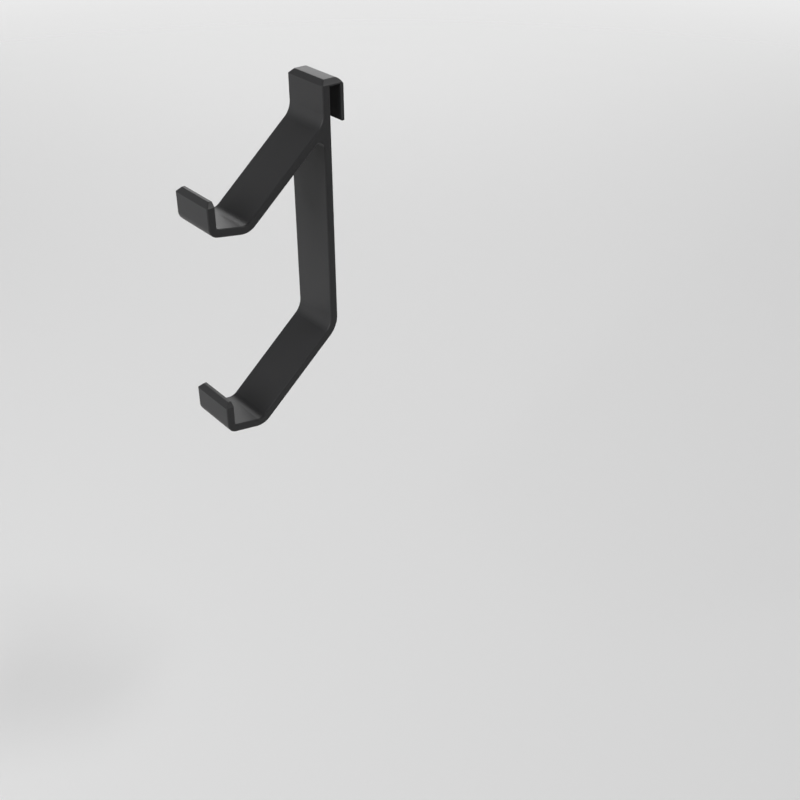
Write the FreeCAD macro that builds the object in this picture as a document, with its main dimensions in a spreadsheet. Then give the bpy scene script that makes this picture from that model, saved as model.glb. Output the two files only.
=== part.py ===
"""Hanging stand for game controllers: one moulded strip with a hook and two cradles.

Frame: +Z up, +X to the right, and -Y out into the room, the side where the cradles are.
The origin is the middle of the slot's ceiling, the face that rests on the panel's top edge.
"""
import FreeCAD, Part
import Sketcher
import math
import os

# Driving sizes, in millimetres, degrees or plain counts.
DRIVING = [
    ("strip_width", 28.8, "width of the strip, from side edge to side edge"),
    ("strip_wall", 4.3, "thickness of the spine, the arms, the floors and the lips"),
    ("slot_gap", 6.0, "clear gap of the hook, where the panel's edge goes"),
    ("cap_wall", 2.9, "thickness of the hook's top"),
    ("tongue_wall", 1.8, "thickness of the tongue behind the panel"),
    ("tongue_drop", 18.0, "length of the tongue below the slot's ceiling"),
    ("first_bend", 12.6, "from the slot's ceiling down to where the first arm leaves the spine"),
    ("cradle_pitch", 109.1, "from one cradle down to the next"),
    ("cradle_count", 2, "how many cradles hang below each other"),
    ("bend_radius", 10.0, "inner radius of the bend from the spine into an arm"),
    ("arm_slope", 40.0, "slope of the arm below the horizontal"),
    ("arm_length", 53.6, "straight length of the arm"),
    ("heel_radius", 6.0, "inner radius of the bend from the arm into the floor"),
    ("floor_slope", 10.0, "rise of the floor towards the lip"),
    ("floor_length", 12.6, "straight length of the floor"),
    ("toe_radius", 1.0, "inner radius of the bend from the floor into the lip"),
    ("lip_length", 12.5, "straight height of the lip above its bend"),
    ("top_bevel", 2.4, "bevel at the front and ends of the hook's top and of each lip's top"),
    ("cap_rear_round", 3.7, "round along the hook's top rear edge"),
    ("crotch_round", 3.0, "round under an arm, where it meets the spine"),
    ("edge_round", 0.85, "round along every long edge of the strip"),
    ("bevel_round", 0.5, "round along the edges of the bevels"),
    ("tongue_round", 0.5, "round across the tongue's lower end"),
]
SIZE = {name: value for name, value, meaning in DRIVING}
NODE = "controller_hanger"
NEAR = 1e-4
SMOOTH = math.radians(3)

doc = FreeCAD.newDocument("controller_hanger_stand")
sheet = doc.addObject("Spreadsheet::Sheet", "Sizes")
for row, (name, value, meaning) in enumerate(DRIVING, start=1):
    sheet.set(f"A{row}", name)
    sheet.set(f"B{row}", str(value))
    sheet.set(f"C{row}", meaning)
    sheet.setAlias(f"B{row}", name)
doc.recompute()

body = doc.addObject("PartDesign::Body", NODE)
body.Label = NODE


def origin_feature(role):
    """Return the body's own plane or axis with this role."""
    return next(part for part in body.Origin.OriginFeatures if part.Role == role)


def side_sketch(name):
    """Start a sketch on the strip's middle plane: its x runs along +Y and its y along +Z."""
    sketch = body.newObject("Sketcher::SketchObject", name)
    sketch.AttachmentSupport = [(origin_feature("YZ_Plane"), "")]
    sketch.MapMode = "FlatFace"
    return sketch


def bind(sketch, kind, where, value, alias, formula):
    """Add one driving constraint and tie it to the sheet."""
    index = sketch.addConstraint(Sketcher.Constraint(kind, *where, value))
    sketch.renameConstraint(index, alias)
    sketch.setExpression(f"Constraints.{alias}", formula)


def extrude(sketch, name):
    """Give a side profile the strip's width, half on each side of the middle plane."""
    pad = body.newObject("PartDesign::Pad", name)
    pad.Profile = sketch
    pad.SideType = "Symmetric"
    pad.setExpression("Length", "Sizes.strip_width")
    sketch.Visibility = False
    doc.recompute()
    return pad


def is_sharp(shape, edge):
    """Tell whether the two faces beside an edge meet at an angle there."""
    middle = edge.valueAt((edge.FirstParameter + edge.LastParameter) / 2)
    normals = [face.normalAt(*face.Surface.parameter(middle))
               for face in shape.ancestorsOfType(edge, Part.Face)]
    return len(normals) == 2 and normals[0].getAngle(normals[1]) > SMOOTH


def dress(kind, base, name, size, alias, wanted):
    """Bevel or round every sharp edge of the base feature that the test picks out."""
    picked = [f"Edge{number}" for number, edge in enumerate(base.Shape.Edges, start=1)
              if wanted(edge) and is_sharp(base.Shape, edge)]
    dressed = body.newObject(f"PartDesign::{kind}", name)
    dressed.Base = (base, picked)
    dressed.setExpression(size, f"Sizes.{alias}")
    doc.recompute()
    return dressed


# Where the strip's faces lie in the side view.
START, END, CENTRE = 1, 2, 3
HORIZONTAL_AXIS, ORIGIN = -1, (-1, 1)
slot_half = SIZE["slot_gap"] / 2
spine_front = -slot_half - SIZE["strip_wall"]
tongue_rear = slot_half + SIZE["tongue_wall"]
spine_end = -SIZE["first_bend"] - (SIZE["cradle_count"] - 1) * SIZE["cradle_pitch"]


def hook_and_spine():
    """Draw the hook's square U with its long leg, the spine, down to the last arm's bend."""
    sketch = side_sketch("hook_and_spine_profile")
    corners = [
        (spine_front, spine_end),
        (spine_front, SIZE["cap_wall"]),
        (tongue_rear, SIZE["cap_wall"]),
        (tongue_rear, -SIZE["tongue_drop"]),
        (slot_half, -SIZE["tongue_drop"]),
        (slot_half, 0),
        (-slot_half, 0),
        (-slot_half, spine_end),
    ]
    points = [FreeCAD.Vector(y, z, 0) for y, z in corners]
    front, cap, tongue_back, tongue_tip, tongue_face, ceiling, rear, foot = [
        sketch.addGeometry(Part.LineSegment(points[n], points[(n + 1) % len(points)]))
        for n in range(len(points))
    ]
    ring = [front, cap, tongue_back, tongue_tip, tongue_face, ceiling, rear, foot]
    for line, following in zip(ring, ring[1:] + ring[:1]):
        sketch.addConstraint(Sketcher.Constraint("Coincident", line, END, following, START))
    for line in (front, tongue_back, tongue_face, rear):
        sketch.addConstraint(Sketcher.Constraint("Vertical", line))
    for line in (cap, tongue_tip, foot):
        sketch.addConstraint(Sketcher.Constraint("Horizontal", line))
    for end in (START, END):
        sketch.addConstraint(Sketcher.Constraint("PointOnObject", ceiling, end, HORIZONTAL_AXIS))
    bind(sketch, "DistanceX", (*ORIGIN, ceiling, START), slot_half, "half_gap", "Sizes.slot_gap / 2")
    bind(sketch, "DistanceX", (ceiling, END, ceiling, START), 2 * slot_half, "gap", "Sizes.slot_gap")
    bind(sketch, "DistanceX", (foot, END, foot, START), SIZE["strip_wall"], "wall", "Sizes.strip_wall")
    bind(sketch, "DistanceX", (tongue_tip, END, tongue_tip, START), SIZE["tongue_wall"],
         "tongue", "Sizes.tongue_wall")
    bind(sketch, "DistanceY", (*ORIGIN, cap, START), SIZE["cap_wall"], "cap", "Sizes.cap_wall")
    bind(sketch, "DistanceY", (tongue_tip, START, *ORIGIN), SIZE["tongue_drop"],
         "drop", "Sizes.tongue_drop")
    bind(sketch, "DistanceY", (foot, END, *ORIGIN), -spine_end, "spine",
         "Sizes.first_bend + (Sizes.cradle_count - 1) * Sizes.cradle_pitch")
    return sketch


def curl(start, moves):
    """Follow a face of the strip that first heads straight down and then only turns clockwise.

    A move is ("line", length) or ("arc", radius, turn in degrees). Lines are returned from
    their far end to their near end, and arcs anticlockwise, as a sketch stores them.
    """
    shapes = []
    place = FreeCAD.Vector(start[0], start[1], 0)
    heading = -90.0
    for kind, size, *turn in moves:
        ahead = FreeCAD.Vector(math.cos(math.radians(heading)), math.sin(math.radians(heading)), 0)
        inwards = FreeCAD.Vector(ahead.y, -ahead.x, 0)
        if kind == "line":
            far = place + ahead * size
            shapes.append(Part.LineSegment(far, place))
        else:
            centre = place + inwards * size
            leaving = math.radians(heading + 90)
            arriving = leaving - math.radians(turn[0])
            circle = Part.Circle(centre, FreeCAD.Vector(0, 0, 1), size)
            shapes.append(Part.ArcOfCircle(circle, arriving, leaving))
            heading -= turn[0]
            far = centre + FreeCAD.Vector(math.cos(arriving), math.sin(arriving), 0) * size
        place = far
    return shapes, place


def cradle():
    """Draw one arm with its floor and lip, and find where the lip's front meets its top."""
    sketch = side_sketch("cradle_profile")
    bends = (("bend", 90 - SIZE["arm_slope"]), ("heel", SIZE["arm_slope"] + SIZE["floor_slope"]),
             ("toe", 90 - SIZE["floor_slope"]))
    straights = [SIZE["arm_length"], SIZE["floor_length"], SIZE["lip_length"]]
    faces = {}
    for face, begin, wall in (("under", -slot_half, SIZE["strip_wall"]), ("upper", spine_front, 0)):
        moves = []
        for (name, turn), straight in zip(bends, straights):
            moves += [("arc", SIZE[f"{name}_radius"] + wall, turn), ("line", straight)]
        shapes, last = curl((begin, -SIZE["first_bend"]), moves)
        numbers = [sketch.addGeometry(shape) for shape in shapes]
        faces[face] = (numbers, last)
        for arc, line in zip(numbers[0::2], numbers[1::2]):
            sketch.addConstraint(Sketcher.Constraint("Tangent", arc, START, line, END))
        for line, arc in zip(numbers[1::2], numbers[2::2]):
            sketch.addConstraint(Sketcher.Constraint("Tangent", line, START, arc, END))
        sketch.addConstraint(Sketcher.Constraint("Vertical", numbers[-1]))
    (under, under_end), (upper, upper_end) = faces["under"], faces["upper"]

    root = sketch.addGeometry(Part.LineSegment(
        FreeCAD.Vector(-slot_half, -SIZE["first_bend"], 0),
        FreeCAD.Vector(spine_front, -SIZE["first_bend"], 0)))
    sketch.addConstraint(Sketcher.Constraint("Coincident", root, START, under[0], END))
    sketch.addConstraint(Sketcher.Constraint("Coincident", root, END, upper[0], END))
    top = sketch.addGeometry(Part.LineSegment(under_end, upper_end))
    sketch.addConstraint(Sketcher.Constraint("Coincident", top, START, under[-1], START))
    sketch.addConstraint(Sketcher.Constraint("Coincident", top, END, upper[-1], START))
    sketch.addConstraint(Sketcher.Constraint("Horizontal", top))

    for arc in (under[0], upper[0]):
        sketch.addConstraint(Sketcher.Constraint("Horizontal", arc, CENTRE, arc, END))
    for (name, turn), outer, inner in zip(bends, under[0::2], upper[0::2]):
        sketch.addConstraint(Sketcher.Constraint("Coincident", outer, CENTRE, inner, CENTRE))
        radius = SIZE[f"{name}_radius"]
        bind(sketch, "Radius", (inner,), radius, f"{name}_inner", f"Sizes.{name}_radius")
        bind(sketch, "Radius", (outer,), radius + SIZE["strip_wall"], f"{name}_outer",
             f"Sizes.{name}_radius + Sizes.strip_wall")
    arm, floor, lip = under[1::2]
    bind(sketch, "DistanceX", (root, START, *ORIGIN), slot_half, "rear", "Sizes.slot_gap / 2")
    bind(sketch, "DistanceY", (root, START, *ORIGIN), SIZE["first_bend"], "first", "Sizes.first_bend")
    bind(sketch, "Angle", (arm,), math.radians(SIZE["arm_slope"]), "arm_slope", "Sizes.arm_slope")
    bind(sketch, "Angle", (floor,), -math.radians(SIZE["floor_slope"]), "floor_slope",
         "-Sizes.floor_slope")
    for line, name in ((arm, "arm"), (floor, "floor"), (lip, "lip")):
        bind(sketch, "Distance", (line,), SIZE[f"{name}_length"], name, f"Sizes.{name}_length")
    return sketch, under_end


spine = extrude(hook_and_spine(), "hook_and_spine")
cradle_sketch, lip_end = cradle()
first_cradle = extrude(cradle_sketch, "first_cradle")

# The cradles are copies of one another down the spine.
cradles = body.newObject("PartDesign::LinearPattern", "cradles")
cradles.Originals = [first_cradle]
cradles.Direction = (origin_feature("Z_Axis"), [""])
cradles.Reversed = True
cradles.setExpression("Occurrences", "Sizes.cradle_count")
cradles.setExpression("Length", "Sizes.cradle_pitch * (Sizes.cradle_count - 1)")
body.Tip = cradles
doc.recompute()


def runs_across(edge):
    """Tell whether an edge is straight and runs from one side of the strip to the other."""
    ends = [vertex.Point for vertex in edge.Vertexes]
    return len(ends) == 2 and abs(abs(ends[0].x - ends[1].x) - SIZE["strip_width"]) < NEAR


def in_crotch(edge):
    """Tell whether an edge lies where an arm's underside leaves the spine's front face."""
    return (runs_across(edge) and abs(edge.Vertexes[0].Y - spine_front) < NEAR
            and spine_end + NEAR < edge.Vertexes[0].Z < -SIZE["first_bend"] - NEAR)


def on_side(edge):
    """Tell whether an edge borders one of the strip's two flat sides."""
    return all(abs(abs(vertex.X) - SIZE["strip_width"] / 2) < NEAR for vertex in edge.Vertexes)


# Each top of the strip that has bevels: its front and rear in the side view, and its height.
tops = [(spine_front, tongue_rear, SIZE["cap_wall"])]
for count in range(SIZE["cradle_count"]):
    tops.append((lip_end.x, lip_end.x + SIZE["strip_wall"], lip_end.y - count * SIZE["cradle_pitch"]))


def near_a_top(edge, depth):
    """Tell whether an edge lies within this depth below one of the tops."""
    return any(all(front - NEAR < vertex.Y < rear + NEAR and -depth - NEAR < vertex.Z - height < NEAR
                   for vertex in edge.Vertexes) for front, rear, height in tops)


def at_front_or_end_of_top(edge):
    """Tell whether an edge is the front one or one of the two end ones of a top."""
    at_rear = any(runs_across(edge) and abs(edge.Vertexes[0].Y - rear) < NEAR
                  for front, rear, height in tops)
    return near_a_top(edge, 0) and not at_rear


def at_cap_rear(edge):
    """Tell whether an edge is the one between the hook's top and the tongue's rear face."""
    return all(math.hypot(vertex.Y - tongue_rear, vertex.Z - SIZE["cap_wall"]) < NEAR
               for vertex in edge.Vertexes)


def behind_the_slot(edge):
    """Tell whether an edge belongs to the tongue."""
    return all(vertex.Y > slot_half - NEAR for vertex in edge.Vertexes)


def at_tongue_tip(edge):
    """Tell whether an edge is one of the two that run across the tongue's lower end."""
    return runs_across(edge) and abs(edge.Vertexes[0].Z + SIZE["tongue_drop"]) < NEAR


def at_ceiling_end(edge):
    """Tell whether an edge is one of the two ends of the slot's ceiling."""
    return on_side(edge) and all(abs(vertex.Z) < NEAR for vertex in edge.Vertexes)


def on_strip_side(edge):
    """Tell whether an edge borders the side of the spine or of a cradle, below the bevels."""
    return (on_side(edge) and not near_a_top(edge, SIZE["top_bevel"]) and not behind_the_slot(edge)
            and not at_ceiling_end(edge))


shape = dress("Chamfer", cradles, "top_bevels", "Size", "top_bevel", at_front_or_end_of_top)
shape = dress("Fillet", shape, "cap_rear", "Radius", "cap_rear_round", at_cap_rear)
shape = dress("Fillet", shape, "crotches", "Radius", "crotch_round", in_crotch)
shape = dress("Fillet", shape, "long_edges", "Radius", "edge_round", on_strip_side)
shape = dress("Fillet", shape, "bevel_edges", "Radius", "bevel_round",
              lambda edge: near_a_top(edge, SIZE["top_bevel"]))
shape = dress("Fillet", shape, "tongue_tip", "Radius", "tongue_round", at_tongue_tip)
body.Placement = FreeCAD.Placement()
doc.recompute()

for item in doc.Objects:
    if "Invalid" in item.State or "Error" in item.State:
        raise RuntimeError(f"{item.Name} did not compute: {item.State}")
if body.Shape.isNull() or not body.Shape.isValid() or len(body.Shape.Solids) != 1:
    raise RuntimeError("the hanger is not one valid solid")

os.makedirs("parts", exist_ok=True)
body.Shape.exportStep(f"parts/{body.Label}.step")
print(f"{body.Label}: {body.Shape.Volume / 1000:.2f} cm3, {len(body.Shape.Faces)} faces")
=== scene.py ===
"""Looks of the controller hanger: one charcoal moulding above a pale floor, in soft studio light."""
import bpy
import math
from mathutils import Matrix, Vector


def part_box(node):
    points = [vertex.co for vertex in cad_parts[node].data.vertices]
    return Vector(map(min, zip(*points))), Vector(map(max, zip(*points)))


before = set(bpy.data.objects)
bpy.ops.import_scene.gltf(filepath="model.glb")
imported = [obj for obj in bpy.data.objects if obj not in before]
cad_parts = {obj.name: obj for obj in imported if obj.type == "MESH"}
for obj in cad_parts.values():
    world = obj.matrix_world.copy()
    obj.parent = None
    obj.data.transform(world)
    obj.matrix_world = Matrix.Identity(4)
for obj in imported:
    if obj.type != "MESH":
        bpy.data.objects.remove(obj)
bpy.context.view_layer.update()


# The hanger
# One moulding in charcoal plastic: a flat strip with a square hook at the top, a straight spine
# and two open cradles. It comes out of a steel mould whose walls are spark eroded, so every face
# has the same fine satin grain, and it is fixed by nothing but the hook.
MM = 0.001
EDGE_ROUND = 0.85 * MM
STRIP_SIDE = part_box("controller_hanger")[1][0]
CHARCOAL = (0.025, 0.025, 0.026, 1.0)
CHARCOAL_RUBBED = (0.033, 0.033, 0.034, 1.0)
COLOUR_DRIFT = 0.3
CHARCOAL_ROUGHNESS = 0.42
ROUGHNESS_DRIFT = 0.08
EDGE_RUBBED = 0.6
EDGE_POLISH = 0.06
PLASTIC_IOR = 1.49
PLASTIC_SHEEN = 0.26
GRAIN_PITCH = 0.32 * MM
GRAIN_DEPTH = 0.012 * MM
GRAIN_LAYERS = 2.0
FLOW_PITCH = 14 * MM
FLOW_LAYERS = 3.0


class Signal:
    """A socket in a node tree. Sums of signals and numbers add the Math nodes that they need."""

    def __init__(self, tree, socket=None):
        self.tree = tree
        self.socket = socket

    def node(self, kind, settings, inputs, output=0):
        """Add a node: its settings are set first, then its sockets get their values or links."""
        made = self.tree.nodes.new(kind)
        for name, value in settings.items():
            setattr(made, name, value)
        for name, value in inputs.items():
            if isinstance(value, Signal):
                self.tree.links.new(value.socket, made.inputs[name])
            else:
                made.inputs[name].default_value = value
        return Signal(self.tree, made.outputs[output])

    def maths(self, operation, first, second=0.0):
        """Add one Math node."""
        return self.node("ShaderNodeMath", {"operation": operation}, {0: first, 1: second})

    def __add__(self, other):
        return self.maths("ADD", self, other)

    def __sub__(self, other):
        return self.maths("SUBTRACT", self, other)

    def __rsub__(self, other):
        return self.maths("SUBTRACT", other, self)

    def __mul__(self, other):
        return self.maths("MULTIPLY", self, other)

    __radd__ = __add__
    __rmul__ = __mul__

    def __abs__(self):
        return self.maths("ABSOLUTE", self)


def start_material(name):
    """Return a new material, an empty signal of its node tree and its Principled shader."""
    material = bpy.data.materials.new(name)
    material.use_nodes = True
    tree = material.node_tree
    return material, Signal(tree), tree.nodes["Principled BSDF"]


def ramp(start, value, low, high):
    """Rise smoothly from 0 at the low value to 1 at the high one."""
    return start.node("ShaderNodeMapRange", {"interpolation_type": "SMOOTHSTEP"},
                      {"Value": value, "From Min": low, "From Max": high})


def uneven(start, place, pitch, layers):
    """Noise of this pitch over the piece, between 0 and 1."""
    return start.node("ShaderNodeTexNoise", {}, {"Vector": place, "Scale": 1 / pitch, "Detail": layers})


def charcoal_plastic():
    """Satin plastic with a spark-eroded grain, rubbed a little smoother along its long edges."""
    material, start, shader = start_material("charcoal_plastic")
    place = start.node("ShaderNodeTexCoord", {}, {}, "Object")
    across = abs(start.node("ShaderNodeSeparateXYZ", {}, {"Vector": place}, "X"))
    edge = ramp(start, across, STRIP_SIDE - EDGE_ROUND, STRIP_SIDE)
    rubbed = edge * EDGE_RUBBED
    drift = uneven(start, place, FLOW_PITCH, FLOW_LAYERS) - 0.5
    grain = uneven(start, place, GRAIN_PITCH, GRAIN_LAYERS)
    # The Mix node keeps its two colours at inputs 6 and 7, and the mixed colour at output 2.
    colour = start.node("ShaderNodeMix", {"data_type": "RGBA"},
                        {0: rubbed + drift * COLOUR_DRIFT, 6: CHARCOAL, 7: CHARCOAL_RUBBED}, 2)
    rough = CHARCOAL_ROUGHNESS + drift * ROUGHNESS_DRIFT - edge * EDGE_POLISH
    bump = start.node("ShaderNodeBump", {}, {"Height": grain * (1 - rubbed), "Distance": GRAIN_DEPTH})
    shader.inputs["IOR"].default_value = PLASTIC_IOR
    shader.inputs["Specular IOR Level"].default_value = PLASTIC_SHEEN
    start.tree.links.new(colour.socket, shader.inputs["Base Color"])
    start.tree.links.new(rough.socket, shader.inputs["Roughness"])
    start.tree.links.new(bump.socket, shader.inputs["Normal"])
    return material


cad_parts["controller_hanger"].data.materials[0] = charcoal_plastic()


# The floor
# A plain pale surface, painted matt, well below the hanger, which hangs clear of it. It fades out
# evenly all round, so that it has no edge and no line where it meets the room.
FLOOR_DROP = 0.39
FLOOR_REACH = 3.0
FLOOR_FADE_START = 0.7
FLOOR_FADE_END = 2.2
FLOOR_COLOUR = (0.86, 0.86, 0.86, 1.0)
FLOOR_ROUGHNESS = 0.9


def fading_paint():
    """Matt pale paint that turns clear between the two fade distances from the origin."""
    material, start, shader = start_material("floor_paint")
    shader.inputs["Base Color"].default_value = FLOOR_COLOUR
    shader.inputs["Roughness"].default_value = FLOOR_ROUGHNESS
    place = start.node("ShaderNodeTexCoord", {}, {}, "Object")
    distance = start.node("ShaderNodeVectorMath", {"operation": "LENGTH"}, {0: place}, "Value")
    clear = start.node("ShaderNodeBsdfTransparent", {}, {})
    painted = Signal(start.tree, shader.outputs["BSDF"])
    surface = start.node("ShaderNodeMixShader", {}, {
        0: ramp(start, distance, FLOOR_FADE_START, FLOOR_FADE_END), 1: painted, 2: clear})
    start.tree.links.new(surface.socket, start.tree.nodes["Material Output"].inputs["Surface"])
    return material


floor_mesh = bpy.data.meshes.new("floor")
floor_mesh.from_pydata(
    [(x * FLOOR_REACH, y * FLOOR_REACH, -FLOOR_DROP) for x, y in ((-1, -1), (1, -1), (1, 1), (-1, 1))],
    [], [(0, 1, 2, 3)])
floor_mesh.materials.append(fading_paint())
floor = bpy.data.objects.new("floor", floor_mesh)
bpy.context.scene.collection.objects.link(floor)


# The light
# A soft lamp in front, a larger one high at the back left, and a small one high at the back right
# for the bevels at the strip's right end. The room gives the same dim light all round. Seen
# directly or in a reflection it is pale up to a little above the horizon, and dim further up.
ROOM_COLOUR = (1.0, 1.0, 1.0, 1.0)
ROOM_STRENGTH = 0.12
ROOM_PALENESS = 0.85
PALE_UP_TO = 0.2  # this and the next are heights on a sphere of radius 1 round the hanger
DIM_ABOVE = 0.6
SEEING_RAYS = ("Is Camera Ray", "Is Glossy Ray", "Is Transmission Ray")
MIDDLE = Vector((0, -0.035, -0.08))


def soft_lamp(name, towards, distance, side, watts):
    """A square lamp in this direction from the middle of the hanger, which it faces."""
    light = bpy.data.lights.new(name, "AREA")
    light.shape = "SQUARE"
    light.size = side
    light.energy = watts
    lamp = bpy.data.objects.new(name, light)
    lamp.location = MIDDLE + Vector(towards).normalized() * distance
    lamp.rotation_euler = (MIDDLE - lamp.location).to_track_quat("-Z", "Y").to_euler()
    bpy.context.scene.collection.objects.link(lamp)


def pale_room():
    """The surroundings: dim as a light, and pale near the horizon where they are seen."""
    world = bpy.data.worlds.new("room")
    world.use_nodes = True
    start = Signal(world.node_tree)
    seen = ramp(start, sum(start.node("ShaderNodeLightPath", {}, {}, ray) for ray in SEEING_RAYS), 0.0, 1.0)
    direction = start.node("ShaderNodeTexCoord", {}, {}, "Generated")
    height = start.node("ShaderNodeSeparateXYZ", {}, {"Vector": direction}, "Z")
    low = 1 - ramp(start, height, PALE_UP_TO, DIM_ABOVE)
    strength = ROOM_STRENGTH + seen * low * (ROOM_PALENESS - ROOM_STRENGTH)
    background = world.node_tree.nodes["Background"]
    background.inputs["Color"].default_value = ROOM_COLOUR
    world.node_tree.links.new(strength.socket, background.inputs["Strength"])
    return world


soft_lamp("front_lamp", towards=(-0.05, -1.0, 0.45), distance=1.6, side=1.2, watts=19)
soft_lamp("back_lamp", towards=(-0.65, 0.53, 0.54), distance=1.8, side=1.6, watts=15)
soft_lamp("end_lamp", towards=(0.35, 0.40, 0.85), distance=1.6, side=0.5, watts=8)
bpy.context.scene.world = pale_room()


# The camera
# It looks down on the hanger from the front right, as the photograph does. Its place, its two
# angles in degrees and its lens in millimetres were solved from the hanger's parallel edges.
CAMERA_PLACE = (0.43909, -0.31030, 0.16344)
CAMERA_AZIMUTH = 50.53
CAMERA_ELEVATION = 32.91
CAMERA_LENS = 50.72
CAMERA_SENSOR = 36.0
CAMERA_NEAREST = 0.01

lens = bpy.data.cameras.new("camera")
lens.lens = CAMERA_LENS
lens.sensor_width = CAMERA_SENSOR
lens.clip_start = CAMERA_NEAREST
camera = bpy.data.objects.new("camera", lens)
camera.location = CAMERA_PLACE
camera.rotation_euler = (math.radians(90 - CAMERA_ELEVATION), 0, math.radians(CAMERA_AZIMUTH))
bpy.context.scene.collection.objects.link(camera)
bpy.context.scene.camera = camera
bpy.context.scene.view_settings.view_transform = "Standard"
